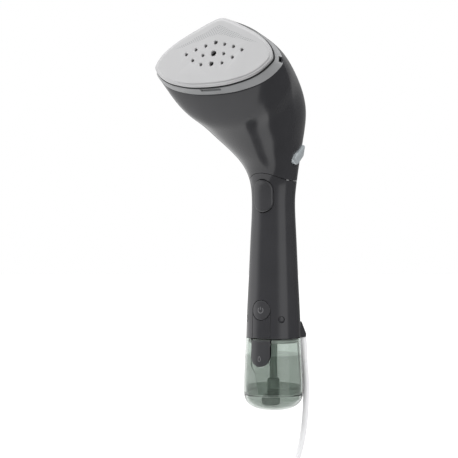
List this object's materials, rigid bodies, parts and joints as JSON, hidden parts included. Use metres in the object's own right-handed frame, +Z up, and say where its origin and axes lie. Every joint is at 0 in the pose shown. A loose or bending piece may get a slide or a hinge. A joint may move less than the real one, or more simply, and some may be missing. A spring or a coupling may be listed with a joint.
{
  "type": "handheld garment steamer",
  "caption": "Handheld garment steamer with a rounded-triangle steam plate, slim handle, clear water tank and coiled mains lead.",
  "frame": {"origin": "on the handle's axis, in the middle of the grip", "axes": "+Z up the handle towards the steam head, -Y to the front (trigger and steam plate), +X to the side with the silver button"},
  "size_m": [0.1324, 0.1522, 0.4623],
  "materials": {
    "steam_plate": "light silver ceramic coat, fine satin",
    "gasket": "dark silicone",
    "insulating_band": "mid grey, satin",
    "housing": "dark charcoal, glossy",
    "controls": "dark charcoal, semi-gloss",
    "side_button": "silver grey, satin",
    "tank": "clear grey-green tinted plastic",
    "rubber": "dark, matt",
    "cord": "white flexible sheath",
    "cast_metal": "as cast",
    "steel": "bright",
    "inner_plastic": "moulded, unpainted",
    "silicone": "translucent silicone",
    "circuit_board": "green solder mask",
    "copper": "enamelled copper",
    "lens": "smoked, dark",
    "insulation": "mica board"
  },
  "bodies": {
    "handset": {"board_capacitor": "rubber", "chamber_cover": "cast_metal", "control_board": "circuit_board", "cord_clamp": "inner_plastic", "cord_guard": "controls", "cover_screw_left": "steel", "cover_screw_right": "steel", "cover_screw_top": "steel", "element_terminal_left": "steel", "element_terminal_right": "steel", "frame_screw_1": "steel", "frame_screw_2": "steel", "handle_base": "inner_plastic", "handle_shell": "housing", "head_shell": "housing", "heat_shield": "insulation", "heating_element": "steel", "indicator_lens_left": "lens", "indicator_lens_right": "lens", "inner_frame": "inner_plastic", "insulating_band": "insulating_band", "neck_sleeve": "inner_plastic", "plate_gasket": "gasket", "plug_body": "cord", "plug_pin_left": "steel", "plug_pin_right": "steel", "power_cord": "cord", "power_cord_coil": "cord", "power_switch": "inner_plastic", "pump_coil": "copper", "pump_mount_lower": "rubber", "pump_mount_upper": "rubber", "socket_nozzle": "inner_plastic", "steam_chamber": "cast_metal", "steam_inlet": "copper", "steam_lock_switch": "inner_plastic", "steam_plate": "steam_plate", "strain_relief": "cord", "terminal_block": "inner_plastic", "thermal_fuse": "insulation", "thermostat": "steel", "trigger_switch": "inner_plastic", "water_hose_lower": "silicone", "water_hose_upper": "silicone", "water_pump": "inner_plastic"},
    "trigger": {"trigger_button": "controls", "switch_plunger": "silicone"},
    "power_key": {"power_button": "controls"},
    "steam_lock": {"steam_lock_button": "side_button"},
    "release_latch": {"tank_release_latch": "controls"},
    "water_tank": {"tank_body": "tank", "tank_bowl": "tank", "tank_lid": "inner_plastic", "tank_seal": "rubber", "valve_plunger": "silicone", "suction_tube": "rubber", "suction_foot": "rubber", "suction_filter": "rubber", "door_pin": "steel"},
    "fill_flap": {"fill_door": "controls"}
  },
  "joints": [
    {"name": "trigger_press", "type": "slide", "parent": "handset", "child": "trigger", "axis": [0, 1, 0], "range_m": [0, 0.002], "stiffness_N_per_m": 900, "springref_m": -0.001},
    {"name": "power_press", "type": "slide", "parent": "handset", "child": "power_key", "axis": [0, 1, 0], "range_m": [0, 0.001], "stiffness_N_per_m": 1200, "springref_m": -0.0008},
    {"name": "steam_lock_press", "type": "slide", "parent": "handset", "child": "steam_lock", "axis": [-0.9524, -0.2381, 0.1905], "range_m": [0, 0.0012], "stiffness_N_per_m": 1200, "springref_m": -0.0008},
    {"name": "latch_press", "type": "slide", "parent": "handset", "child": "release_latch", "axis": [0, 1, 0], "range_m": [0, 0.0012], "stiffness_N_per_m": 1500, "springref_m": -0.0008},
    {"name": "tank_slide", "type": "slide", "parent": "handset", "child": "water_tank", "axis": [0, 0, -1], "range_m": [0, 0.02]},
    {"name": "fill_flap_swing", "type": "hinge", "parent": "water_tank", "child": "fill_flap", "pos_m": [0, -0.0234, -0.0776], "axis": [-1, 0, 0], "range_deg": [0, 60]}
  ]
}
